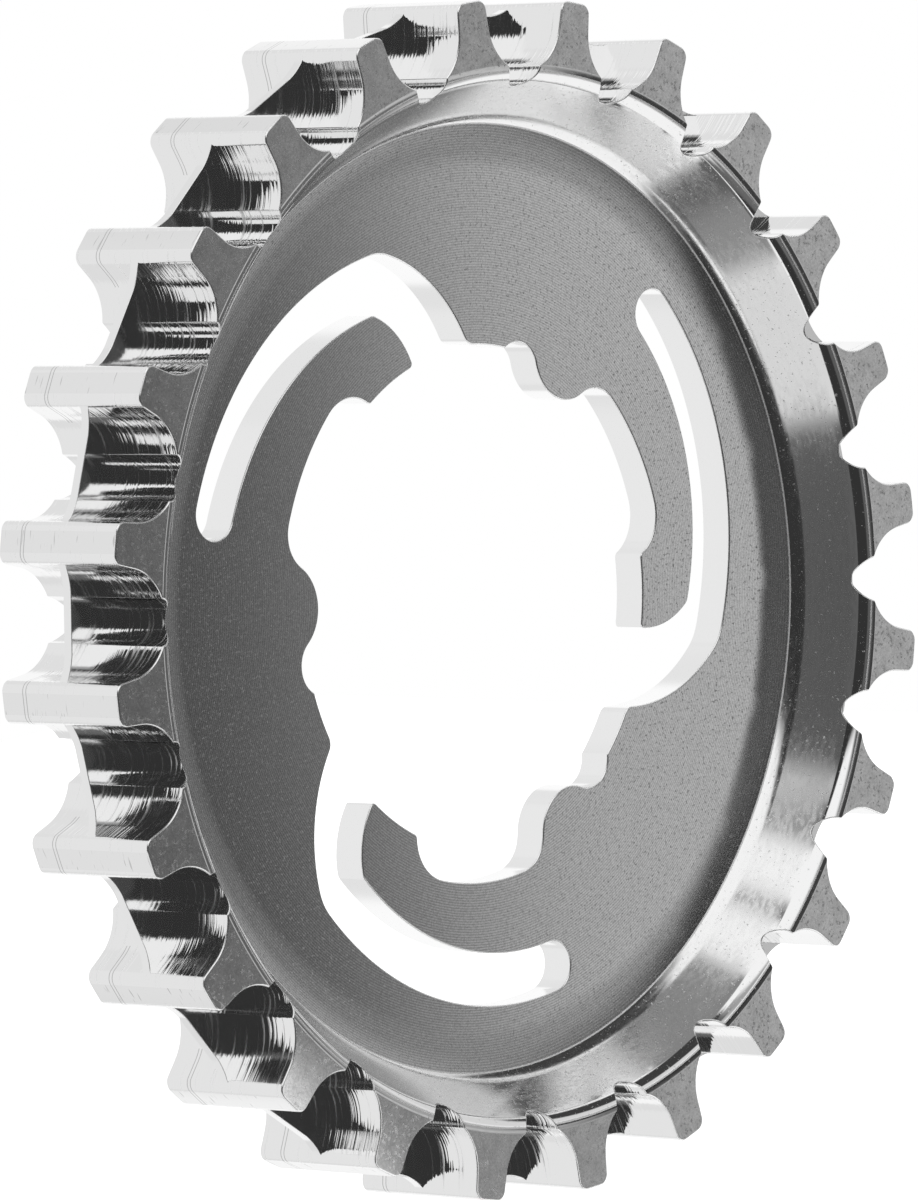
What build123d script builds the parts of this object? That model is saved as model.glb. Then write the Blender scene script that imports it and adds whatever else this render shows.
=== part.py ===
"""Rear belt sprocket of a bicycle: 24 teeth, turned and milled from one stainless steel blank.

Frame: the wheel axis is Y, with the dished front face towards -Y. The origin is on the axis, halfway
through the rim. A tooth stands straight up on +Z. Every "turn" is in degrees, clockwise from +Z as
seen from the front. Lengths are millimetres.
"""
import os
from math import atan2, cos, degrees, hypot, pi, radians, sin, sqrt, tan

from build123d import *

# Teeth and rim
tooth_count = 24
belt_pitch = 11.0
pitch_line_lift = 0.82
rim_width = 10.75

# Gap between two teeth, which takes one tooth of the belt
pocket_radius = 3.65
pocket_centre_depth = 1.36
flank_angle = 11.4
tip_round = 0.75
root_radius = 1.57
root_depth = 5.97

# Thin fin that runs round the middle of the rim, in the groove of the belt
fin_thickness = 0.72
fin_dip = 1.17
fin_flat = 4.2
fin_end_round = 5.2
fin_end_slope = 5.0
fin_end_sweep = 38.0
fin_end_depth = 0.3

# Dish inside the rim, and the flat web that closes it. Its lip is a round of 1.4 mm and its corner one
# of 2.7 mm, and each is drawn as a narrow cone between the ends of the round
dish_lip = 5.36
dish_angle = 31.5
lip_break = 0.78
corner_break = 1.51
front_recess = 5.16
web_thickness = 2.5

# Hub seat: three plain lands, three rounded drive lugs and three notches
fold = 3
bore_radius = 17.5
lug_height = 1.5
lug_round = 3.27
lug_turn = 37.5
relief_round = 2.01
relief_depth = 0.7
notch_depth = 2.1
notch_start_round = 2.55
notch_end_round = 3.07
notch_end_turn = 79.4

# Spring fingers: each is freed by a hooked slot that runs back from the bore
finger_preload = 0.27
finger_width = 2.81
finger_end_inset = 5.03
finger_end_turn = 100.37
finger_end_round = 6.35
slot_width = 3.99
slot_inner_offset = 4.98
slot_inner_turn = 37.5
slot_outer_offset = 4.44
slot_outer_turn = 39.4
slot_end_turn = 51.6
mouth_inset = 10.65
mouth_turn = 96.46
mouth_radius = 12.24
elbow_round = 3.8

# Breaks on the sharp corners of the cut-out
mouth_break = 1.0
finger_root_break = 0.8
finger_tip_break = 0.35
land_break = 0.4

# Sizes that follow from those above
gap_step = 360 / tooth_count
tip_radius = tooth_count * belt_pitch / (2 * pi) - pitch_line_lift
front_y = -rim_width / 2
back_y = rim_width / 2
web_front_y = front_y + front_recess
web_back_y = web_front_y + web_thickness
lip_radius = tip_radius - dish_lip
lug_tip_radius = bore_radius - lug_height
relief_radius = bore_radius + relief_depth
notch_radius = bore_radius + notch_depth
finger_land_radius = bore_radius - finger_preload
slot_inner_radius = bore_radius + finger_width
slot_outer_radius = slot_inner_radius + slot_width
overcut = 2.0


def polar(radius, turn, centre=(0, 0)):
    """Point at a radius and a turn about a centre, which is the wheel axis unless given."""
    return centre[0] + radius * sin(radians(turn)), centre[1] + radius * cos(radians(turn))


def turned(point, turn):
    """Point swung about the wheel axis."""
    return polar(hypot(*point), degrees(atan2(*point)) + turn)


def crossing(centre_a, radius_a, centre_b, radius_b, side=1):
    """Crossing of two circles. Side 1 is clockwise of the way from centre a to centre b, -1 is the other."""
    dx, dy = centre_b[0] - centre_a[0], centre_b[1] - centre_a[1]
    gap = hypot(dx, dy)
    along = (radius_a**2 - radius_b**2 + gap**2) / (2 * gap)
    across = side * sqrt(radius_a**2 - along**2)
    return centre_a[0] + (along * dx + across * dy) / gap, centre_a[1] + (along * dy - across * dx) / gap


def on_line(centre_a, centre_b, radius_a):
    """Point at a radius from the first centre, on the line to the second centre."""
    dx, dy = centre_b[0] - centre_a[0], centre_b[1] - centre_a[1]
    share = radius_a / hypot(dx, dy)
    return centre_a[0] + share * dx, centre_a[1] + share * dy


def arc_about(centre, start, end):
    """The shorter arc about a centre, from start to end."""
    middle = (start[0] + end[0]) / 2, (start[1] + end[1]) / 2
    radius = hypot(start[0] - centre[0], start[1] - centre[1])
    return ThreePointArc(start, on_line(centre, middle, radius), end)


axis_point = (0, 0)
pocket_centre = (0, tip_radius - pocket_centre_depth)
root_centre = (0, tip_radius - root_depth + root_radius)

# Half a tooth gap, drawn upright: flank, pocket and root groove, then mirrored
flank_top = tip_radius + overcut
flank_foot = (
    pocket_radius * cos(radians(flank_angle)),
    pocket_centre[1] - pocket_radius * sin(radians(flank_angle)),
)
flank_end = (flank_foot[0] + (flank_top - flank_foot[1]) * tan(radians(flank_angle)), flank_top)
root_edge = crossing(pocket_centre, pocket_radius, root_centre, root_radius, -1)

with BuildSketch() as tooth_gap:
    with BuildLine():
        Polyline((0, flank_top), flank_end, flank_foot)
        arc_about(pocket_centre, flank_foot, root_edge)
        arc_about(root_centre, root_edge, (0, tip_radius - root_depth))
        mirror(about=Plane.YZ)
    make_face()

# Half of the dip in the fin between two teeth: a flat, then a curve up to the corner of the tooth
with BuildSketch() as fin_gap:
    with BuildLine():
        slope = radians(fin_end_slope)
        dip_corner = (fin_flat / 2, tip_radius - fin_dip)
        Line((0, dip_corner[1]), dip_corner)
        rise = JernArc(dip_corner, (cos(slope), sin(slope)), fin_end_round, fin_end_sweep)
        Polyline(rise @ 1, ((rise @ 1).X, flank_top), (0, flank_top))
        mirror(about=Plane.YZ)
    make_face()

# Centres of the arcs that make one third of the cut-out in the web
lug_centre = polar(lug_tip_radius + lug_round, lug_turn)
relief_centre = crossing(
    axis_point, relief_radius - relief_round, lug_centre, lug_round + relief_round, side=-1
)
notch_start_centre = crossing(
    axis_point, notch_radius - notch_start_round, lug_centre, lug_round + notch_start_round
)
notch_end_centre = polar(notch_radius - notch_end_round, notch_end_turn)
slot_inner = polar(slot_inner_offset, slot_inner_turn)
slot_outer = polar(slot_outer_offset, slot_outer_turn)
slot_end = polar(slot_outer_radius, slot_end_turn)
finger_end = polar(slot_inner_radius - finger_end_inset, finger_end_turn, slot_inner)
mouth = polar(slot_outer_radius - mouth_inset, mouth_turn, slot_outer)
elbow_centre = crossing(slot_outer, slot_outer_radius - elbow_round, mouth, mouth_radius - elbow_round)

# Where each arc meets the next, clockwise from the mouth of the slot before
mouth_end = crossing(axis_point, bore_radius, mouth, mouth_radius)
land_start = turned(mouth_end, -360 / fold)
land_end = crossing(axis_point, bore_radius, relief_centre, relief_round, side=-1)
lug_start = on_line(lug_centre, relief_centre, lug_round)
lug_end = on_line(lug_centre, notch_start_centre, lug_round)
notch_start = on_line(axis_point, notch_start_centre, notch_radius)
notch_end = on_line(axis_point, notch_end_centre, notch_radius)
finger_root = crossing(axis_point, finger_land_radius, notch_end_centre, notch_end_round)
finger_tip = crossing(axis_point, finger_land_radius, finger_end, finger_end_round)
finger_back = crossing(slot_inner, slot_inner_radius, finger_end, finger_end_round)
slot_end_in = on_line(slot_inner, slot_end, slot_inner_radius)
slot_end_out = on_line(slot_outer, slot_end, slot_outer_radius)
elbow_start = on_line(slot_outer, elbow_centre, slot_outer_radius)
elbow_end = on_line(mouth, elbow_centre, mouth_radius)

# The slot's closed end is half a circle on the line between its two walls
half_slot = (slot_end_out[0] - slot_end_in[0]) / 2, (slot_end_out[1] - slot_end_in[1]) / 2
slot_tip = slot_end_in[0] + half_slot[0] - half_slot[1], slot_end_in[1] + half_slot[1] + half_slot[0]

with BuildSketch() as hub_third:
    with BuildLine():
        Line(axis_point, land_start)
        arc_about(axis_point, land_start, land_end)
        arc_about(relief_centre, land_end, lug_start)
        arc_about(lug_centre, lug_start, lug_end)
        arc_about(notch_start_centre, lug_end, notch_start)
        arc_about(axis_point, notch_start, notch_end)
        arc_about(notch_end_centre, notch_end, finger_root)
        arc_about(axis_point, finger_root, finger_tip)
        arc_about(finger_end, finger_tip, finger_back)
        arc_about(slot_inner, finger_back, slot_end_in)
        ThreePointArc(slot_end_in, slot_tip, slot_end_out)
        arc_about(slot_outer, slot_end_out, elbow_start)
        arc_about(elbow_centre, elbow_start, elbow_end)
        arc_about(mouth, elbow_end, mouth_end)
        Line(mouth_end, axis_point)
    make_face()

# The whole cut-out, with its sharp corners broken
with BuildSketch() as hub_opening:
    with PolarLocations(0, fold):
        add(hub_third.sketch)
    for corner, size in (
        (mouth_end, mouth_break),
        (finger_root, land_break),
        (finger_tip, finger_tip_break),
        (finger_back, finger_root_break),
    ):
        points = [turned(corner, k * 360 / fold) for k in range(fold)]
        fillet([hub_opening.vertices().sort_by_distance(p)[0] for p in points], radius=size)

with BuildPart() as sprocket:
    # Toothed disc over the whole width of the rim, with rounded tooth tips
    with BuildSketch(Plane.XZ.offset(-back_y)) as teeth:
        Circle(tip_radius)
        with PolarLocations(0, tooth_count, start_angle=gap_step / 2):
            add(tooth_gap.sketch, mode=Mode.SUBTRACT)
        fillet(teeth.vertices().group_by(lambda v: round(hypot(v.X, v.Y), 3))[-1], radius=tip_round)
    extrude(amount=rim_width)

    # Fin in the middle of every gap, its edge dipped between the teeth
    with BuildSketch(Plane.XZ.offset(-fin_thickness / 2)) as fin:
        Circle(tip_radius - fin_end_depth)
        with PolarLocations(0, tooth_count, start_angle=gap_step / 2):
            add(fin_gap.sketch, mode=Mode.SUBTRACT)
    extrude(amount=fin_thickness)

    # Dish turned into each face: a flat web and a conical wall, with lip and corner broken
    for face_y, floor_y in ((front_y, web_front_y), (back_y, web_back_y)):
        depth = abs(face_y - floor_y)
        outward = (face_y - floor_y) / depth
        with BuildSketch(Plane.XY) as dish:
            with BuildLine():
                floor_corner = (lip_radius - depth * tan(radians(dish_angle)), floor_y)
                lip = (lip_radius, face_y)
                outside_y = face_y + overcut * outward
                Polyline((0, floor_y), floor_corner, lip, (tip_radius, face_y))
                Polyline((tip_radius, face_y), (tip_radius, outside_y), (0, outside_y), (0, floor_y))
            make_face()
            chamfer(dish.vertices().sort_by_distance(floor_corner)[0], length=corner_break)
            chamfer(dish.vertices().sort_by_distance(lip)[0], length=lip_break)
        revolve(axis=Axis.Y, mode=Mode.SUBTRACT)

    # Hub seat and spring slots, cut right through the web
    with BuildSketch(Plane.XZ.offset(-(web_back_y + overcut))):
        add(hub_opening.sketch)
    extrude(amount=web_thickness + 2 * overcut, mode=Mode.SUBTRACT)

sprocket.part.label = "sprocket"
os.makedirs("parts", exist_ok=True)
export_step(sprocket.part, "parts/sprocket.step")
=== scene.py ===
"""Belt sprocket of stainless steel, turned and milled from one blank, upright in a white studio.

Frame: metres, the wheel axis is Y, the dished front face looks towards -Y, a tooth points along +Z.
A spot in the plane of the wheel is a complex number, x + z i. A turn is clockwise from straight up,
as seen from the front. A facing is the unit vector that points out of the metal.
"""

import bpy
import numpy as np
from mathutils import Matrix, Vector
from mathutils.geometry import tessellate_polygon


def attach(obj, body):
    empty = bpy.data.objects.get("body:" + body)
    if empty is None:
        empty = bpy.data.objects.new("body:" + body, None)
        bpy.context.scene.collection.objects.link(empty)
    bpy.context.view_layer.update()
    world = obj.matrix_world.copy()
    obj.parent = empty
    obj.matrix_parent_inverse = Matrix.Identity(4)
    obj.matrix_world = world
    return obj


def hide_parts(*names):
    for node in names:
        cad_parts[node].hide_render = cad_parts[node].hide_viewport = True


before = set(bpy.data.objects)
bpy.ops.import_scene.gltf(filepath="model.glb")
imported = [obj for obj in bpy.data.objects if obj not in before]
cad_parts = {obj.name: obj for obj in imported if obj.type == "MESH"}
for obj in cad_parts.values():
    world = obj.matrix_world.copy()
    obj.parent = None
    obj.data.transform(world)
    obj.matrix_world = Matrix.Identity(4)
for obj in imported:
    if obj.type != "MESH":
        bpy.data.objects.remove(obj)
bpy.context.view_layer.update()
mm = 0.001


# Tooth gaps
# The rim is part of the one blank. A form cutter that runs along the axis leaves 24 gaps, each a round
# pocket with a narrower groove at its root. Every sharp edge is broken by about a tenth of a millimetre.
tooth_count = 24
rim_width = 10.75 * mm
tip_radius = 41.197 * mm
pocket_radius = 3.65 * mm
pocket_drop = 1.36 * mm
pocket_centre = 1j * (tip_radius - pocket_drop)
flank_angle = np.radians(11.4)
tip_round = 0.75 * mm
root_radius = 1.57 * mm
gap_depth = 5.97 * mm
root_centre = 1j * (tip_radius - gap_depth + root_radius)
ridge_round = 0.15 * mm
edge_break = 0.11 * mm

front_y = -rim_width / 2
gap_step = 2 * np.pi / tooth_count


def heading(turn):
    """Unit vector at a turn: i times e to the power of minus i turn."""
    return 1j * np.exp(-1j * np.asarray(turn))


def turn_of(spot):
    """Turn at which a spot stands about the origin."""
    return np.pi / 2 - np.angle(spot)


def mirrored(spot):
    """The same spot or facing on the other side of straight up."""
    return -np.conj(spot)


def crossing(centre_a, radius_a, centre_b, radius_b, side):
    """Where two circles cross: side 1 is clockwise of the way from centre a to centre b, -1 the other."""
    apart = abs(centre_b - centre_a)
    along = (radius_a**2 - radius_b**2 + apart**2) / (2 * apart)
    across = np.sqrt(radius_a**2 - along**2)
    return centre_a + (along - 1j * side * across) * (centre_b - centre_a) / apart


def bend(centre, radius, facing_turns):
    """Arc: centre plus radius times the facing. The radius is negative where the metal is hollow."""
    facing = heading(facing_turns)
    return centre + radius * facing, facing


# The dish inside the rim is turned: a round lip, a cone, a round corner and the flat web. A swing is the
# angle by which a turned surface's facing leans from the way of the axis, and is nought on a flat face
lip_drop = 5.36 * mm
lip_radius = tip_radius - lip_drop
lip_round = 1.4 * mm
cone_degrees = 31.5
cone_swing = np.radians(90 - cone_degrees)
lip_outer = lip_radius + lip_round * np.tan(cone_swing / 2)
lip_inner = lip_outer - lip_round * np.sin(cone_swing)
lip_line = np.radians([20.5, 16.0])
inner_lip_points, outer_lip_points = 8, 5
lip_swings = np.concatenate([
    np.linspace(cone_swing, lip_line[0], inner_lip_points), np.linspace(lip_line[1], 0, outer_lip_points),
])
lip_rows = lip_outer - lip_round * np.sin(lip_swings)


def dish(radius):
    """Depth below the rim's face, and facing as (radial, outward): a circle at the lip, then a cone."""
    swing = np.arcsin(np.clip((lip_outer - radius) / lip_round, 0, np.sin(cone_swing)))
    depth = lip_round * (1 - np.cos(swing)) + np.clip(lip_inner - radius, 0, None) * np.tan(cone_swing)
    return depth, -np.sin(swing), np.cos(swing)


def arc_turn(centre, arc_radius, radius):
    """Facing turn on a hollow arc about an upright centre, where it is at a radius from the wheel axis."""
    height = abs(centre)
    return -np.arccos((height**2 + arc_radius**2 - radius**2) / (2 * height * arc_radius))


# Ridge between groove and pocket, and the round at the tip, each set against two curves
ridge_centre = crossing(
    pocket_centre, pocket_radius + ridge_round, root_centre, root_radius + ridge_round, -1
)
ridge_points = 5
ridge_turns = np.linspace(
    turn_of(root_centre - ridge_centre), turn_of(pocket_centre - ridge_centre), ridge_points
)
flank_turn = flank_angle - np.pi / 2
flank_way = heading(flank_angle)
slide_start = pocket_centre - (pocket_radius + tip_round) * heading(flank_turn)
slide = (slide_start * np.conj(flank_way)).real
slide_end = np.sqrt(slide**2 + (tip_radius - tip_round) ** 2 - abs(slide_start) ** 2) - slide
tip_round_centre = slide_start + slide_end * flank_way

# Fin that is left standing in the middle of each gap: its edge dips between the teeth
fin_thickness = 0.72 * mm
fin_flat = 2.1 * mm
fin_slope = np.radians(5.0)
fin_end_round = 5.2 * mm
fin_drop = 1.17 * mm
fin_edge = fin_flat + 1j * (tip_radius - fin_drop)
fin_end_centre = fin_edge + fin_end_round * heading(-fin_slope)
fin_end = crossing(tip_round_centre, tip_round, fin_end_centre, fin_end_round, -1)
fin_end_turn = turn_of(fin_end - tip_round_centre)
fin_break = 0.05 * mm

# Half a gap, from the root up to the middle of the next tooth. Its points lie on the circles of the lip
root_edge, pocket_edge = root_radius + edge_break, pocket_radius + edge_break
ridge_start = abs(root_centre - root_edge * heading(ridge_turns[0]))
ridge_end = abs(pocket_centre - pocket_edge * heading(ridge_turns[-1]))
flat_turn = -np.arcsin(fin_flat / pocket_radius)
groove_points, pocket_points, flank_points = 7, 4, 12
groove_turns = np.concatenate([
    np.linspace(0, arc_turn(root_centre, root_edge, lip_inner), groove_points)[:-1],
    arc_turn(root_centre, root_edge, lip_rows[lip_rows < ridge_start]),
    ridge_turns[:1],
])
lip_turns = arc_turn(pocket_centre, pocket_edge, lip_rows[lip_rows > ridge_end])
pocket_turns = np.concatenate([
    lip_turns,
    np.linspace(lip_turns[-1], flat_turn, pocket_points)[1:],
    np.linspace(flat_turn, flank_turn, flank_points)[1:],
])
to_fin_points, past_fin_points, land_points = 3, 9, 5
round_turns = np.concatenate([
    np.linspace(flank_turn, fin_end_turn, to_fin_points),
    np.linspace(fin_end_turn, turn_of(tip_round_centre), past_fin_points)[1:],
])
tip_turns = np.linspace(turn_of(tip_round_centre), gap_step / 2, land_points)[1:]
stretches = [
    bend(root_centre, -root_radius, groove_turns),
    bend(ridge_centre, ridge_round, ridge_turns[1:]),
    bend(pocket_centre, -pocket_radius, pocket_turns),
    bend(tip_round_centre, tip_round, round_turns),
    bend(0, tip_radius, tip_turns),
]
half_gap = np.concatenate([spots for spots, facing in stretches])
half_facing = np.concatenate([facing for spots, facing in stretches])
lip_mark = sum(len(spots) for spots, facing in stretches[:2]) + len(lip_turns) - 1
round_mark = sum(len(spots) for spots, facing in stretches[:3])
fin_mark = round_mark + to_fin_points - 1
land_mark = round_mark + len(round_turns) - 1

# A whole gap, from the middle of one tooth to the middle of the next, and the line inside its edge break.
# The slices are the stretch that the fin fills, the milled gap, the lands, and the gap beside the fin
middle = len(half_gap) - 1
gap = np.concatenate([mirrored(half_gap[::-1]), half_gap[1:]])
gap_facing = np.concatenate([mirrored(half_facing[::-1]), half_facing[1:]])
gap_inset = gap - edge_break * gap_facing
in_fin = slice(middle - fin_mark, middle + fin_mark + 1)
in_gap = slice(middle - land_mark, middle + land_mark + 1)
lands = slice(0, middle - land_mark + 1), slice(middle + land_mark, 2 * middle + 1)
beside_fin = (
    slice(middle - land_mark, middle - fin_mark + 1), slice(middle + fin_mark, middle + land_mark + 1)
)

surfaces = []


def placed(spots, y):
    """Points in space, from spots in the plane of the wheel and their places along the axis."""
    spots, y = np.broadcast_arrays(spots, y)
    return np.stack([spots.real, y, spots.imag], axis=-1)


def add_turned(points, normals, triangles, finish, copies):
    """Keeps a set of triangles once for each copy, the copies spread evenly about the wheel axis."""
    a, b, c = (points[triangles[:, k]] for k in range(3))
    if (np.cross(b - a, c - a) * normals[triangles].sum(axis=1)).sum() < 0:
        triangles = triangles[:, ::-1]
    for turn in gap_step / 2 + np.arange(copies) * 2 * np.pi / copies:
        twist = np.exp(-1j * turn)
        surfaces.append((
            placed((points[:, 0] + 1j * points[:, 2]) * twist, points[:, 1]),
            placed((normals[:, 0] + 1j * normals[:, 2]) * twist, normals[:, 1]),
            triangles, finish,
        ))


def skin(rows, facings, finish, copies=tooth_count):
    """Adds a surface given as rows of points, with the facing at each point: two triangles a cell."""
    points, normals = np.stack(rows), np.stack(facings)
    lines, columns = points.shape[:2]
    index = np.arange(lines * columns).reshape(lines, columns)
    a, b, c, d = index[:-1, :-1], index[1:, :-1], index[1:, 1:], index[:-1, 1:]
    triangles = np.concatenate([np.stack(k, axis=-1).reshape(-1, 3) for k in ((a, b, c), (a, c, d))])
    add_turned(points.reshape(-1, 3), normals.reshape(-1, 3), triangles, finish, copies)


def plate(loops, y, way, finish, copies=tooth_count):
    """Adds a flat face that looks along the axis: the first loop of spots, less the other loops."""
    spots = np.concatenate(loops)
    outlines = [[Vector((k.real, k.imag, 0)) / mm for k in loop] for loop in loops]
    triangles = np.array(tessellate_polygon(outlines))
    add_turned(placed(spots, y), placed(0 * spots, way), triangles, finish, copies)


wall_facing = placed(gap_facing, 0)
fin_side = fin_thickness / 2
for way in (-1, 1):
    depth, radial, outward = dish(abs(gap_inset))
    face_line = placed(gap_inset, way * (rim_width / 2 - depth))
    face_facing = placed(radial * gap_inset / abs(gap_inset), way * outward)
    wall_line = placed(gap, way * (rim_width / 2 - dish(abs(gap))[0] - edge_break))
    skin([face_line, wall_line], [face_facing, wall_facing], "broken edge")
    for part, finish in ((in_gap, "milled gap"), (lands[0], "rim land"), (lands[1], "rim land")):
        skin([wall_line[part], placed(gap, way * fin_side)[part]], [wall_facing[part]] * 2, finish)
for parts, finish in ((beside_fin, "milled gap"), (lands, "rim land")):
    for part in parts:
        skin([placed(gap, -fin_side)[part], placed(gap, fin_side)[part]], [wall_facing[part]] * 2, finish)


# Fin
# Between the two passes of the cutter a thin fin is left standing in the middle of the rim. Its sides
# are cut by the cutter's end, and its edge is turned down between the teeth.
fin_foot = gap[in_fin]
across = abs(fin_foot.real)
rise = np.sqrt(np.clip(fin_end_round**2 - (across - fin_end_centre.real) ** 2, 0, None))
# The end points of the edge's flat count with the flat, whatever the rounding
hair = 1.0001
on_flat = across <= fin_flat * hair
fin_top = fin_foot.real + 1j * np.where(on_flat, fin_edge.imag, fin_end_centre.imag - rise)
end_facing = (fin_end_centre - across - 1j * fin_top.imag) / fin_end_round
end_facing = np.where(fin_foot.real < 0, mirrored(end_facing), end_facing)
flat_columns = np.flatnonzero(on_flat)
shoulders = (
    (slice(0, flat_columns[0] + 1), end_facing),
    (slice(flat_columns[0], flat_columns[-1] + 1), np.full(len(fin_foot), 1j)),
    (slice(flat_columns[-1], len(fin_foot)), end_facing),
)
taper_length = 6 * fin_break
taper = np.clip((abs(fin_end.real) - across) / taper_length, 0, 1)
for way in (-1, 1):
    side_facing = placed(0 * fin_foot, way)
    side_top = fin_top - fin_break * taper * np.where(on_flat, 1j, end_facing)
    side_lines = [placed(fin_foot, way * fin_side), placed(side_top, way * fin_side)]
    skin(side_lines, [side_facing] * 2, "fin side")
    top_line = placed(fin_top, way * (fin_side - fin_break * taper))
    for part, facing in shoulders:
        top_facing = placed(facing, 0)
        skin(
            [placed(side_top, way * fin_side)[part], top_line[part]],
            [side_facing[part], top_facing[part]], "broken edge",
        )
for part, facing in shoulders:
    edges = [placed(fin_top, way * (fin_side - fin_break * taper))[part] for way in (-1, 1)]
    skin(edges, [placed(facing, 0)[part]] * 2, "fin edge")


# Dish
# Each face of the blank is dished on the lathe, down to a flat web. The faces of the teeth are what is
# left of the rim's own flat face, outside the lip.
front_recess = 5.16 * mm
web_thickness = 2.5 * mm
web_y = {-1: front_y + front_recess, 1: front_y + front_recess + web_thickness}
corner_round = 2.7 * mm
satin_swing = np.radians(33)
line_swing = np.radians(35.5)
bright_points, satin_points = 7, 8
foot_tilt = 0.14
columns = 16
floor_radius = {}
for way in (-1, 1):
    # Flat face of one tooth, which the lip closes below
    edge = gap_inset[middle + lip_mark:]
    other_edge = mirrored(edge) * np.exp(-1j * gap_step)
    tooth = np.concatenate([edge, other_edge[-2::-1]])
    lip_arc = abs(edge[0]) * heading(np.linspace(turn_of(tooth[-1]), turn_of(tooth[0]), columns + 1))
    plate([np.concatenate([tooth, lip_arc[1:-1]])], way * rim_width / 2, way, "tooth face")

    # Lip and top of the cone, between one root groove and the next
    rows, facings = [], []
    for spot in gap_inset[middle:middle + lip_mark + 1]:
        depth, radial, outward = dish(abs(spot))
        ray = heading(np.linspace(turn_of(spot), gap_step - turn_of(spot), columns + 1))
        rows.append(placed(abs(spot) * ray, way * (rim_width / 2 - depth)))
        facings.append(placed(radial * ray, way * outward))
    heights = abs(gap_inset[middle:middle + lip_mark + 1])
    first, last = (np.argmin(abs(heights - lip_outer + lip_round * np.sin(k))) for k in lip_line)
    skin(rows[:first + 1], facings[:first + 1], "dish")
    skin(rows[first:last + 1], facings[first:last + 1], "tool line")
    skin(rows[last:], facings[last:], "dish")

    # Rest of the cone and the round corner, all the way round. The web's finish runs up the corner to a
    # fine line, where the two passes of the tool met. Its steps lie nearly flat there, so the facing tilts
    # by less than the corner does
    floor_depth = rim_width / 2 - way * web_y[way]
    cone_reach = floor_depth / np.tan(cone_swing)
    floor_radius[way] = lip_radius - cone_reach - corner_round * np.tan(cone_swing / 2)
    ray = heading(np.linspace(0, gap_step, columns + 1))
    for swings, finish in (
        (np.linspace(cone_swing, line_swing, bright_points), "dish"),
        (np.array([line_swing, satin_swing]), "tool line"),
        (np.linspace(satin_swing, 0, satin_points), "web"),
    ):
        radii = floor_radius[way] + corner_round * np.sin(swings)
        depths = floor_depth - corner_round * (1 - np.cos(swings))
        if finish == "dish":
            radii = np.append(abs(gap_inset[middle]), radii)
            depths = np.append(dish(radii[0])[0], depths)
            swings = np.append(cone_swing, swings)
        tilts = swings * (foot_tilt if finish == "web" else 1)
        skin(
            [placed(r * ray, way * (rim_width / 2 - d)) for r, d in zip(radii, depths)],
            [placed(-np.sin(a) * ray, way * np.cos(a)) for a in tilts], finish,
        )


# Web and hub seat
# The web is turned flat, then its opening is cut right through: plain lands, drive lugs, notches and
# three spring fingers, each freed by a hooked slot.
fold = 3
bore_radius = 17.5 * mm
finger_land_radius = bore_radius - 0.27 * mm
lug_turn = np.radians(37.5)
lug_top = 16.0 * mm
lug_round = 3.27 * mm
lug_centre = (lug_top + lug_round) * heading(lug_turn)
relief_radius = 18.2 * mm
relief_round = 2.01 * mm
relief_centre = crossing(0, relief_radius - relief_round, lug_centre, lug_round + relief_round, -1)
notch_radius = 19.6 * mm
notch_start_round = 2.55 * mm
notch_start_centre = crossing(
    0, notch_radius - notch_start_round, lug_centre, lug_round + notch_start_round, 1
)
notch_end_turn = np.radians(79.4)
notch_end_round = 3.07 * mm
notch_end_centre = (notch_radius - notch_end_round) * heading(notch_end_turn)
finger_turn = np.radians(86.2)
finger_reach = 18.1 * mm
finger_centre = finger_reach * heading(finger_turn)
finger_round = 6.35 * mm
inner_shift = 4.98 * mm
inner_centre = inner_shift * heading(lug_turn)
inner_radius = 20.31 * mm
outer_turn = np.radians(39.4)
outer_shift = 4.44 * mm
outer_centre = outer_shift * heading(outer_turn)
outer_radius = 24.3 * mm
slot_end_turn = np.radians(51.6)
slot_end = outer_radius * heading(slot_end_turn)
mouth_turn = np.radians(83.4)
mouth_reach = 16.49 * mm
mouth_centre = mouth_reach * heading(mouth_turn)
mouth_radius = 12.24 * mm
elbow_round = 3.8 * mm
elbow_centre = crossing(
    outer_centre, outer_radius - elbow_round, mouth_centre, mouth_radius - elbow_round, 1
)


def towards(centre, radius, spot):
    """Spot at a radius from a centre, on the line to another spot."""
    return centre + radius * (spot - centre) / abs(spot - centre)


slot_inside = towards(inner_centre, inner_radius, slot_end)
slot_outside = towards(outer_centre, outer_radius, slot_end)
end_centre = (slot_inside + slot_outside) / 2
end_round = abs(slot_outside - slot_inside) / 2


def corner(first, second, radius, side):
    """Round on an outside corner between two arcs, which stands inside the metal against both."""
    (centre_a, radius_a), (centre_b, radius_b) = first, second
    reach_a = abs(radius_a) - np.sign(radius_a) * radius
    reach_b = abs(radius_b) - np.sign(radius_b) * radius
    return crossing(centre_a, reach_a, centre_b, reach_b, side), radius


# One third of the cut-out as arcs, each with its centre and radius, negative where the metal is hollow
bore_corner = 0.15 * mm
land_corner = 0.4 * mm
tip_corner = 0.35 * mm
slot_corner = 0.8 * mm
mouth_corner = 1.0 * mm
bore = 0, -bore_radius
relief = relief_centre, -relief_round
notch_end = notch_end_centre, -notch_end_round
finger_land = 0, -finger_land_radius
finger_tip = finger_centre, finger_round
slot_inner = inner_centre, inner_radius
mouth = mouth_centre, -mouth_radius
arcs = [
    bore,
    corner(bore, relief, bore_corner, -1),
    relief,
    (lug_centre, lug_round),
    (notch_start_centre, -notch_start_round),
    (0, -notch_radius),
    notch_end,
    corner(finger_land, notch_end, land_corner, 1),
    finger_land,
    corner(finger_land, finger_tip, tip_corner, 1),
    finger_tip,
    corner(slot_inner, finger_tip, slot_corner, 1),
    slot_inner,
    (end_centre, -end_round),
    (outer_centre, -outer_radius),
    (elbow_centre, -elbow_round),
    mouth,
    corner(bore, mouth, mouth_corner, 1),
]


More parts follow.
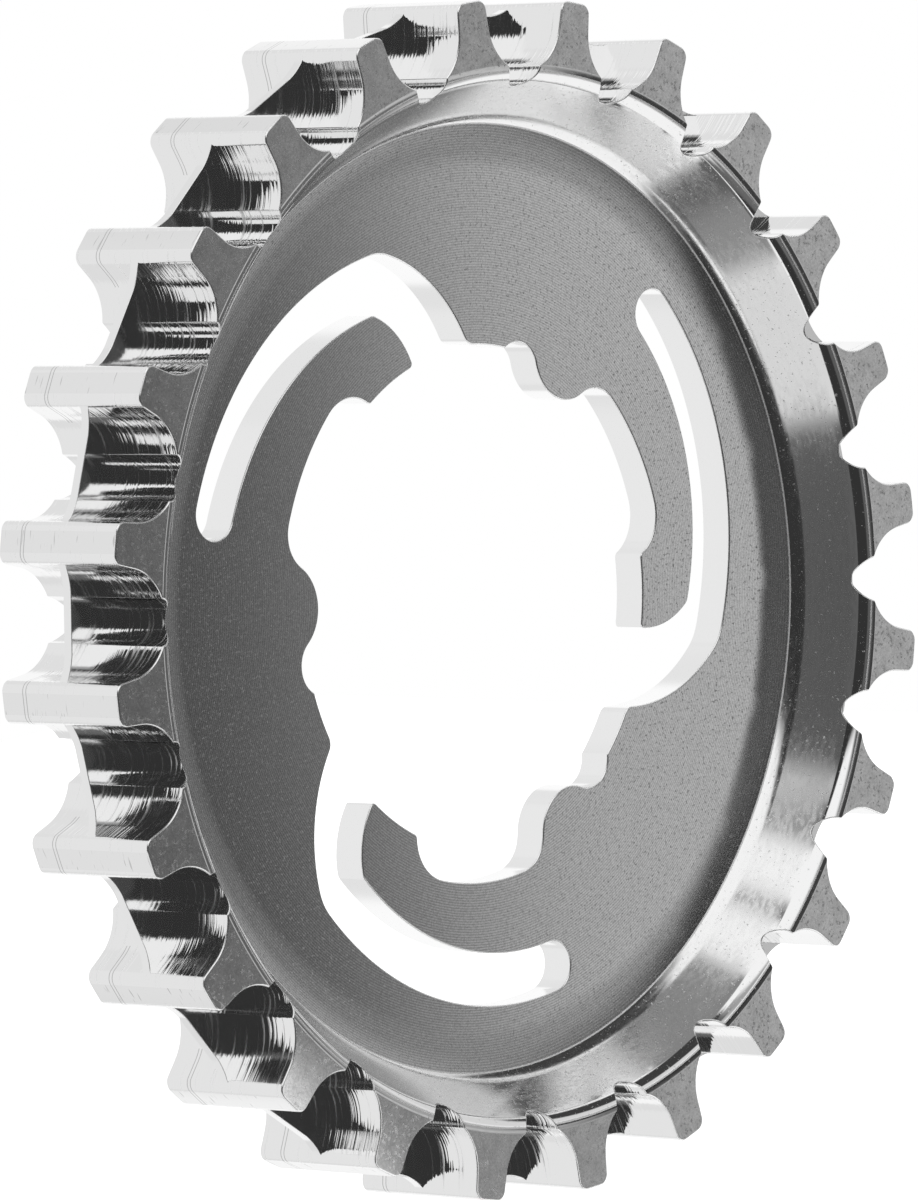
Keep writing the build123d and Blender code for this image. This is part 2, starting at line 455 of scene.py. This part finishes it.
def joint(first, second):
    """Spot where two touching arcs meet: on the line through their centres, as their radii share it."""
    (centre_a, radius_a), (centre_b, radius_b) = first, second
    return (centre_a * radius_b - centre_b * radius_a) / (radius_b - radius_a)


# Each arc as points, a short chord apart, and then the three thirds of the cut-out
arc_step = np.radians(5.0)
longest_chord = 0.6 * mm
third_turn = np.exp(-2j * np.pi / fold)
last_before = (arcs[-1][0] / third_turn, arcs[-1][1])
first_after = (arcs[0][0] * third_turn, arcs[0][1])
neighbours = zip([last_before] + arcs[:-1], arcs, arcs[1:] + [first_after])
seat_spots, seat_facings = [], []
for before, (centre, radius), after in neighbours:
    first = turn_of((joint(before, (centre, radius)) - centre) / radius)
    last = turn_of((joint((centre, radius), after) - centre) / radius)
    sweep = (last - first) % (2 * np.pi) if radius < 0 else -((first - last) % (2 * np.pi))
    count = int(np.ceil(max(abs(sweep) / arc_step, abs(sweep * radius) / longest_chord))) + 1
    spots, facings = bend(centre, radius, first + np.linspace(0, sweep, count))
    seat_spots.append(spots[:-1])
    seat_facings.append(facings[:-1])
third_spots, third_facings = np.concatenate(seat_spots), np.concatenate(seat_facings)
seat = np.concatenate([third_spots * third_turn**k for k in range(fold)])
seat_facing = np.concatenate([third_facings * third_turn**k for k in range(fold)])
seat, seat_facing = seat * np.exp(1j * gap_step / 2), seat_facing * np.exp(1j * gap_step / 2)
closed = np.append(np.arange(len(seat)), 0)
seat_wall = placed(seat_facing, 0)[closed]
seat_break = 0.1 * mm
rim_turns = np.arange(tooth_count * columns) * gap_step / columns
for way in (-1, 1):
    inset = seat - seat_break * seat_facing
    plate([floor_radius[way] * heading(rim_turns), inset], web_y[way], way, "web", copies=1)
    break_lines = [
        placed(inset, web_y[way])[closed], placed(seat, web_y[way] - way * seat_break)[closed],
    ]
    skin(break_lines, [placed(0 * seat, way)[closed], seat_wall], "broken edge", copies=1)
wall_lines = [placed(seat, web_y[way] - way * seat_break)[closed] for way in (-1, 1)]
skin(wall_lines, [seat_wall] * 2, "hub seat", copies=1)


# Steel finishes
# The whole part is bare stainless steel, left as the tools cut it. Each face keeps the marks of its own
# tool, and they are all that tells one finish from another. Patterns are set out in millimetres, so the
# scale of one is its marks per mm.
def linear(code):
    """A colour in sRGB hex made linear: c / 12.92 up to 0.04045, and ((c + 0.055) / 1.055)^2.4 above."""
    parts = np.array([int(code[k:k + 2], 16) for k in (1, 3, 5)]) / 255
    return (*np.where(parts <= 0.04045, parts / 12.92, ((parts + 0.055) / 1.055) ** 2.4), 1.0)


def node(tree, kind, inputs, to=None, **settings):
    """Adds a node. The settings are its own; inputs gives its sockets a value or a link.

    Its first output is linked to the socket called to, where one is given.
    """
    made = tree.nodes.new(kind)
    for key, value in settings.items():
        setattr(made, key, value)
    for key, value in inputs.items():
        if isinstance(value, bpy.types.NodeSocket):
            tree.links.new(value, made.inputs[key])
        else:
            made.inputs[key].default_value = value
    if to:
        tree.links.new(made.outputs[0], to)
    return made


def steel(name, colour, roughness, anisotropy=0.0):
    """Starts a steel. Gives its tree and shader inputs, the spot in mm, and its radius and way out."""
    material = bpy.data.materials.new(name)
    material.use_nodes = True
    tree = material.node_tree
    finish = next(n for n in tree.nodes if n.type == "BSDF_PRINCIPLED").inputs
    finish["Base Color"].default_value = linear(colour)
    finish["Metallic"].default_value = 1.0
    finish["Roughness"].default_value = roughness
    finish["Anisotropic"].default_value = anisotropy
    spot = node(tree, "ShaderNodeTexCoord", {}).outputs["Object"]
    spot = node(tree, "ShaderNodeVectorMath", {0: spot, "Scale": 1 / mm}, operation="SCALE").outputs[0]
    flat = node(tree, "ShaderNodeVectorMath", {0: spot, 1: (1, 0, 1)}, operation="MULTIPLY").outputs[0]
    radius = node(tree, "ShaderNodeVectorMath", {0: flat}, operation="LENGTH").outputs["Value"]
    ray = node(tree, "ShaderNodeVectorMath", {0: flat}, operation="NORMALIZE").outputs[0]
    return material, tree, finish, spot, radius, ray


# Fine turning lines, one for each pass of the tool, give the web its satin look, over a grain of about
# 0.12 mm, with light specks where the metal has torn. The real lines are too fine to show, so they are
# drawn 0.18 mm apart. Near the corner the web is rougher, which softens what it mirrors of the cone
line_pitch = 0.18
foot_start, foot_end = 29.6, 30.8
web_steel, tree, finish, spot, radius, ray = steel("turned satin steel", "#E8E8E8", 0.15, 0.4)
tree.links.new(ray, finish["Tangent"])
turn = node(tree, "ShaderNodeMath", {0: radius, 1: 2 * np.pi / line_pitch}, operation="MULTIPLY").outputs[0]
rings = node(tree, "ShaderNodeMath", {0: turn}, operation="SINE").outputs[0]
rings = node(tree, "ShaderNodeMapRange", {
    "Value": rings, "From Min": -1.0, "From Max": 1.0, "To Min": 0.72, "To Max": 1.0,
}).outputs[0]
grain = node(tree, "ShaderNodeTexNoise", {"Vector": spot, "Scale": 8.0, "Detail": 2.0}).outputs[0]
grain = node(tree, "ShaderNodeMapRange", {
    "Value": grain, "From Min": 0.38, "From Max": 0.60, "To Min": 0.78, "To Max": 1.0,
}).outputs[0]
node(tree, "ShaderNodeMath", {0: rings, 1: grain}, finish["Base Color"], operation="MULTIPLY")
specks = node(tree, "ShaderNodeTexNoise", {"Vector": spot, "Scale": 4.5, "Detail": 1.0}).outputs[0]
specks = node(tree, "ShaderNodeMapRange", {
    "Value": specks, "From Min": 0.60, "From Max": 0.70, "To Min": 0.10, "To Max": 0.27,
}).outputs[0]
foot = node(tree, "ShaderNodeMapRange", {
    "Value": radius, "From Min": foot_start, "From Max": foot_end, "To Min": 0.0, "To Max": 0.10,
}).outputs[0]
node(tree, "ShaderNodeMath", {0: specks, 1: foot}, finish["Roughness"], operation="ADD")

# The tooth faces are the rim's face as it was first turned, worn to a grain of about 0.17 mm that is
# mottled over a millimetre or so, with rougher specks
tooth_steel, tree, finish, spot, radius, ray = steel("mottled satin steel", "#E8E8E8", 0.2)
grain = node(tree, "ShaderNodeTexNoise", {"Vector": spot, "Scale": 6.0, "Detail": 2.0}).outputs[0]
grain = node(tree, "ShaderNodeMapRange", {
    "Value": grain, "From Min": 0.35, "From Max": 0.62, "To Min": 0.82, "To Max": 1.0,
}).outputs[0]
mottle = node(tree, "ShaderNodeTexNoise", {"Vector": spot, "Scale": 0.9, "Detail": 2.0}).outputs[0]
mottle = node(tree, "ShaderNodeMapRange", {
    "Value": mottle, "From Min": 0.35, "From Max": 0.65, "To Min": 0.86, "To Max": 1.0,
}).outputs[0]
node(tree, "ShaderNodeMath", {0: grain, 1: mottle}, finish["Base Color"], operation="MULTIPLY")
specks = node(tree, "ShaderNodeTexNoise", {"Vector": spot, "Scale": 4.0, "Detail": 1.0}).outputs[0]
node(tree, "ShaderNodeMapRange", {
    "Value": specks, "From Min": 0.60, "From Max": 0.72, "To Min": 0.17, "To Max": 0.34,
}, finish["Roughness"])

# The cone shows streaks from the tool, which run round the axis, and a few pits about 0.2 mm wide. The
# streaks are drawn about 0.12 mm apart, coarser than the real ones. The rounds at the cone's two edges,
# here given by their radii, are smoother than the cone and mirror crisp lines
corner_radii = 32.6, 33.0
lip_radii = 35.1, 35.4
dish_steel, tree, finish, spot, radius, ray = steel("turned bright steel", "#F2F2F2", 0.10)
around = node(tree, "ShaderNodeVectorMath", {0: ray, "Scale": 6.0}, operation="SCALE").outputs[0]
streaks = node(tree, "ShaderNodeTexNoise", {
    "Vector": around, "W": radius, "Scale": 8.0, "Detail": 1.0,
}, noise_dimensions="4D").outputs[0]
streaks = node(tree, "ShaderNodeMapRange", {
    "Value": streaks, "From Min": 0.40, "From Max": 0.60, "To Min": 0.04, "To Max": 0.10,
}).outputs[0]
pits = node(tree, "ShaderNodeTexNoise", {"Vector": spot, "Scale": 5.0, "Detail": 1.0}).outputs[0]
pits = node(tree, "ShaderNodeMapRange", {
    "Value": pits, "From Min": 0.66, "From Max": 0.76, "To Min": 0.0, "To Max": 0.35,
}).outputs[0]
marks = node(tree, "ShaderNodeMath", {0: streaks, 1: pits}, operation="ADD").outputs[0]
past_corner, past_lip = (node(tree, "ShaderNodeMapRange", {
    "Value": radius, "From Min": inner, "From Max": outer, "To Min": 0.0, "To Max": 0.09,
}).outputs[0] for inner, outer in (corner_radii, lip_radii))
cone = node(tree, "ShaderNodeMath", {0: past_corner, 1: past_lip}, operation="SUBTRACT").outputs[0]
node(tree, "ShaderNodeMath", {0: marks, 1: cone}, finish["Roughness"], operation="ADD")

# Two thin lines round the wheel, at these places along the axis in mm, where a later pass ended
pass_ends = 3.08, 3.37
half_line = 0.035


def pass_lines(tree, spot, radius, from_radius):
    """Grey that is 1, and dark on the lines of the later pass, outside a radius in mm."""
    along = node(tree, "ShaderNodeSeparateXYZ", {0: spot}).outputs["Y"]
    first, second = (
        node(tree, "ShaderNodeMath", {0: along, 1: end, 2: half_line}, operation="COMPARE").outputs[0]
        for end in pass_ends
    )
    both = node(tree, "ShaderNodeMath", {0: first, 1: second}, operation="ADD").outputs[0]
    outside = node(tree, "ShaderNodeMath", {0: radius, 1: from_radius}, operation="GREATER_THAN").outputs[0]
    share = node(tree, "ShaderNodeMath", {0: both, 1: outside}, operation="MULTIPLY").outputs[0]
    return node(tree, "ShaderNodeMapRange", {"Value": share, "To Min": 1.0, "To Max": 0.60}).outputs[0]


# The gaps are milled. The cutter's lines lie 0.2 mm apart along the axis, coarser than the real ones, and
# run round the curve of the pocket. The lines of the later pass cross only the outer part of the flanks
flank_from = 38.4
cut_depth = 0.02 * mm
lines_per_mm = 0.15, 5.0, 0.15
gap_steel, tree, finish, spot, radius, ray = steel("milled bright steel", "#F4F4F4", 0.05)
drawn = node(tree, "ShaderNodeVectorMath", {0: spot, 1: lines_per_mm}, operation="MULTIPLY").outputs[0]
marks = node(tree, "ShaderNodeTexNoise", {"Vector": drawn, "Scale": 1.0, "Detail": 1.0}).outputs[0]
node(tree, "ShaderNodeMapRange", {
    "Value": marks, "From Min": 0.56, "From Max": 0.74, "To Min": 0.04, "To Max": 0.40,
}, finish["Roughness"])
node(tree, "ShaderNodeBump", {"Height": marks, "Strength": 1.0, "Distance": cut_depth}, finish["Normal"])
later = pass_lines(tree, spot, radius, flank_from)
node(tree, "ShaderNodeMath", {0: later, 1: 0.91}, finish["Base Color"], operation="MULTIPLY")

# The lands of the teeth are what is left of the turned rim. The tool left short grey dashes on them, about
# 0.2 mm wide and 1.5 mm long
dashes_per_mm = 0.7, 4.5, 0.7
land_steel, tree, finish, spot, radius, ray = steel("turned rim steel", "#F0F0F0", 0.12)
drawn = node(tree, "ShaderNodeVectorMath", {0: spot, 1: dashes_per_mm}, operation="MULTIPLY").outputs[0]
dashes = node(tree, "ShaderNodeTexNoise", {"Vector": drawn, "Scale": 1.0, "Detail": 1.0}).outputs[0]
dashes = node(tree, "ShaderNodeMapRange", {
    "Value": dashes, "From Min": 0.66, "From Max": 0.76, "To Min": 0.87, "To Max": 0.60,
}).outputs[0]
later = pass_lines(tree, spot, radius, 0.0)
node(tree, "ShaderNodeMath", {0: later, 1: dashes}, finish["Base Color"], operation="MULTIPLY")

# The fin is cut by the end of the cutter, which leaves it bright, with faint waves about a millimetre wide
fin_depth = 0.004 * mm
fin_steel, tree, finish, spot, radius, ray = steel("end-milled bright steel", "#F4F4F4", 0.08)
waves = node(tree, "ShaderNodeTexNoise", {"Vector": spot, "Scale": 1.0, "Detail": 3.0}).outputs[0]
node(tree, "ShaderNodeBump", {"Height": waves, "Strength": 1.0, "Distance": fin_depth}, finish["Normal"])

# The broken edges are dressed and dull, a torn line shows white where two passes met, and the seat is
# bored to a plain bright finish
break_steel = steel("broken edge steel", "#FAFAFA", 0.22)[0]
line_steel = steel("torn tool line", "#FFFFFF", 0.60)[0]
seat_steel = steel("bored bright steel", "#FAFAFA", 0.15)[0]
finishes = {
    "web": web_steel, "tooth face": tooth_steel, "dish": dish_steel, "milled gap": gap_steel,
    "fin side": fin_steel, "fin edge": fin_steel, "rim land": land_steel, "broken edge": break_steel,
    "tool line": line_steel, "hub seat": seat_steel,
}


# Sprocket in one mesh
# All the surfaces meet in one closed skin, which takes the place of the plain solid. Points that fall in
# one small cell are the same point, and the shift keeps round sizes off the edges of the cells. Each
# corner keeps the facing that its surface was given, so rounds and flats shade as they are cut.
weld = 0.1e-6
weld_shift = 0.377
points = np.concatenate([k[0] for k in surfaces])
normals = np.concatenate([k[1] for k in surfaces])
starts = np.cumsum([0] + [len(k[0]) for k in surfaces[:-1]])
corners = np.concatenate([k[2] + start for k, start in zip(surfaces, starts)])
names = list(finishes)
finish_index = np.concatenate([np.full(len(k[2]), names.index(k[3])) for k in surfaces])
in_cell = np.floor(points / weld + weld_shift).astype(np.int64)
cells, where = np.unique(in_cell, axis=0, return_inverse=True)
where = where.ravel()
vertices = np.zeros((len(cells), 3))
vertices[where] = points
joined = where[corners]
real = (joined[:, 0] != joined[:, 1]) & (joined[:, 1] != joined[:, 2]) & (joined[:, 2] != joined[:, 0])
corners, joined, finish_index = corners[real], joined[real], finish_index[real]
mesh = bpy.data.meshes.new("sprocket_steel")
mesh.from_pydata(vertices.tolist(), [], joined.tolist())
for name in names:
    mesh.materials.append(finishes[name])
mesh.polygons.foreach_set("material_index", finish_index)
mesh.shade_smooth()
mesh.normals_split_custom_set(normals[corners].reshape(-1, 3).tolist())
body = bpy.data.objects.new("sprocket_steel", mesh)
bpy.context.collection.objects.link(body)
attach(body, "root")
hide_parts("sprocket")


# Studio
# A white room. What the steel mirrors is a large shell about it, lit evenly but for a few dark openings,
# as between soft boxes, and a small card near the part. The floor is pale and lies well below the part.
def emitter(name, colour, strength):
    """A material that only gives light, of one colour or by a painted value."""
    material = bpy.data.materials.new(name)
    material.use_nodes = True
    tree = material.node_tree
    tree.nodes.clear()
    out = node(tree, "ShaderNodeOutputMaterial", {}).inputs["Surface"]
    light = node(tree, "ShaderNodeEmission", {"Color": colour, "Strength": strength}, out)
    return material, tree, light


shell_radius = 1.45
shell_columns, shell_rows = 360, 180
azimuths = np.linspace(-180, 180, shell_columns, endpoint=False)
elevations = np.linspace(-90, 90, shell_rows + 1)
azimuth, elevation = (k.ravel() for k in np.meshgrid(azimuths, elevations))


def patch(outline, soft):
    """Share of a patch of the room at each point: 1 inside its outline in degrees, with smooth edges.

    Each edge gives a step t*t*(3 - 2t), where t rises from 0 to 1 over the soft width across the edge.
    """
    shares = []
    for around in (azimuth, azimuth - 360):
        share = np.ones(azimuth.shape)
        for (azimuth_a, elevation_a), (azimuth_b, elevation_b) in zip(outline, outline[1:] + outline[:1]):
            along = np.array([azimuth_b - azimuth_a, elevation_b - elevation_a])
            along = along / np.hypot(*along)
            inside = along[0] * (elevation - elevation_a) - along[1] * (around - azimuth_a)
            step = np.clip(inside / soft + 0.5, 0, 1)
            share = share * step**2 * (3 - 2 * step)
        shares.append(share)
    return np.maximum(*shares)


# The room is white but for its patches: each has an outline, the width of its soft edges and its light
room = np.full(azimuth.shape, 1.0)
for outline, soft, level in (
    # Back wall on the right, a little further off, with two corners that fall away
    ([(95, -70), (165, -70), (165, 60), (95, 60)], 15, 0.84),
    ([(52, 28), (100, 28), (100, 52), (52, 52)], 8, 0.80),
    ([(80, -54), (105, -54), (105, -36), (80, -36)], 8, 0.78),
    # Ground below the part, in front of it, and its grey edges
    ([(-200, -60), (-138, -60), (-138, -24), (-200, -24)], 8, 0.75),
    ([(-165, -95), (-78, -95), (-82, -50), (-128, -50), (-150, -62), (-165, -62)], 10, 0.12),
    ([(-165, -79), (-138, -79), (-138, -62), (-165, -62)], 8, 0.27),
    ([(-98, -68), (-76, -68), (-73, -28), (-98, -28)], 9, 0.13),
    ([(-84, -50), (-69, -46), (-64, -26), (-84, -26)], 6, 0.15),
    # Unlit side, where the camera stands
    ([(-194, -27), (-146, -27), (-146, 42), (-194, 42)], 6, 0.125),
    ([(-155, -27), (-122, -27), (-122, 27), (-140, 56), (-148, 56), (-155, 8)], 4, 0.035),
    ([(-146, -27), (-138, -54), (-120, -64), (-96, -64), (-84, -30), (-84, 7), (-126, 32), (-146, 44)],
     6, 0.035),
    # Front of the room: a lit box between dark ones, over a darker strip
    ([(-70, -36), (15, -36), (15, -28), (-70, -28)], 3, 0.72),
    ([(-90, -31), (30, -31), (30, 6), (-90, 14)], 14, 0.15),
    ([(-96, -28), (-58, -28), (-58, 10), (-96, 10)], 7, 0.11),
    ([(-70, 20), (-58, 20), (-58, 52), (-70, 52)], 6, 0.38),
    ([(-62, -26), (-43.5, -26), (-43.5, 12), (-62, 12)], 4, 0.05),
    ([(-43, -27), (-36, -27), (-36, 1), (-43, 1)], 3, 0.54),
    ([(-37, -14), (-20, -14), (-20, -2), (-37, -2)], 4, 0.11),
    ([(-44, -2), (-22, -2), (-22, 8), (-44, 8)], 4, 0.38),
    ([(-60, 21), (-10, 12), (20, 9), (20, 33), (-60, 33)], 4, 0.72),
    ([(-57, 4), (-38, 4), (-38, 16), (-57, 16)], 3, 0.035),
    # Dark opening high on the right, the grey ceiling behind it, and a seam between two ceiling boxes
    ([(-78, 76), (-8, 58), (20, 58), (20, 96), (-100, 96)], 6, 0.25),
    ([(-63, 33), (-12, 27), (-1, 27), (-3, 42), (-11, 52), (-26, 68), (-52, 70), (-63, 60)], 4, 0.05),
    ([(-137, 68), (-118, 66), (-116, 69), (-135, 72.5)], 2.5, 0.20),
):
    share = patch(outline, soft)
    room = room * (1 - share) + level * share
shell_mesh = bpy.data.meshes.new("studio_shell")
outlook = np.stack([
    np.cos(np.radians(elevation)) * np.cos(np.radians(azimuth)),
    np.cos(np.radians(elevation)) * np.sin(np.radians(azimuth)),
    np.sin(np.radians(elevation)),
], axis=-1)
index = np.arange(len(azimuth)).reshape(shell_rows + 1, shell_columns)
wrapped = np.roll(index, -1, axis=1)
quads = np.stack([index[:-1], wrapped[:-1], wrapped[1:], index[1:]], axis=-1).reshape(-1, 4)
shell_mesh.from_pydata((shell_radius * outlook).tolist(), [], quads.tolist())
painted = shell_mesh.attributes.new("light", "FLOAT", "POINT")
painted.data.foreach_set("value", room)
shell_material, tree, light = emitter("studio light", (1, 1, 1, 1), 1.0)
shell_material.cycles.emission_sampling = "NONE"
painted_light = node(tree, "ShaderNodeAttribute", {}, attribute_name="light").outputs["Fac"]
tree.links.new(painted_light, light.inputs["Strength"])
shell_mesh.materials.append(shell_material)
shell = bpy.data.objects.new("studio_shell", shell_mesh)
shell.visible_camera = False
shell.visible_shadow = False

# A small white card in front of the part, low down, lights the top of the dish by way of its lower side
card_y = -40 * mm
card_corners = [(-16, -52), (18, -70), (33, -70), (5, -34), (-16, -34)]
card_mesh = bpy.data.meshes.new("studio_card")
card_mesh.from_pydata([(x * mm, card_y, z * mm) for x, z in card_corners], [], [(4, 3, 2, 1, 0)])
card_mesh.materials.append(emitter("white card", (1, 1, 1, 1), 1.0)[0])
card = bpy.data.objects.new("studio_card", card_mesh)
card.visible_camera = False
card.visible_shadow = False

# The floor keeps a soft shadow, and what the camera sees of it is lifted to the white behind it
floor_z = -0.25
floor_half = 1.2
floor_lift = 0.45
floor_mesh = bpy.data.meshes.new("studio_floor")
floor_corners = [(floor_half * x, floor_half * y, floor_z) for x, y in ((-1, -1), (1, -1), (1, 1), (-1, 1))]
floor_mesh.from_pydata(floor_corners, [], [(0, 1, 2, 3)])
floor_material = bpy.data.materials.new("pale floor")
floor_material.use_nodes = True
tree = floor_material.node_tree
paint = next(n for n in tree.nodes if n.type == "BSDF_PRINCIPLED").inputs
paint["Base Color"].default_value = linear("#F6F6F6")
paint["Roughness"].default_value = 0.9
paint["Emission Color"].default_value = (1, 1, 1, 1)
seen = node(tree, "ShaderNodeLightPath", {}).outputs["Is Camera Ray"]
node(tree, "ShaderNodeMath", {0: seen, 1: floor_lift}, paint["Emission Strength"], operation="MULTIPLY")
floor_mesh.materials.append(floor_material)
floor = bpy.data.objects.new("studio_floor", floor_mesh)
floor.visible_glossy = False
for stage_object in (shell, card, floor):
    bpy.context.collection.objects.link(stage_object)

# The camera sees plain white behind the part
world = bpy.data.worlds.new("studio")
bpy.context.scene.world = world
world.use_nodes = True
background = next(n for n in world.node_tree.nodes if n.type == "BACKGROUND")
background.inputs["Color"].default_value = (1, 1, 1, 1)
background.inputs["Strength"].default_value = 1.0

# The camera stands as it stood for the photograph
camera_data = bpy.data.cameras.new("camera")
camera_data.sensor_width = 36.0
camera_data.lens = 291.1813
camera = bpy.data.objects.new("camera", camera_data)
right = Vector((0.664178, -0.740333, -0.103804))
down = Vector((-0.171048, -0.015324, -0.985144))
forward = Vector((0.727743, 0.672066, -0.136810))
place = Vector((-0.48711685, -0.44829210, 0.09143826))
axes = Matrix((right, -down, -forward)).transposed()
camera.matrix_world = Matrix.Translation(place) @ axes.to_4x4()
bpy.context.collection.objects.link(camera)
bpy.context.scene.camera = camera
bpy.context.scene.view_settings.view_transform = "Standard"
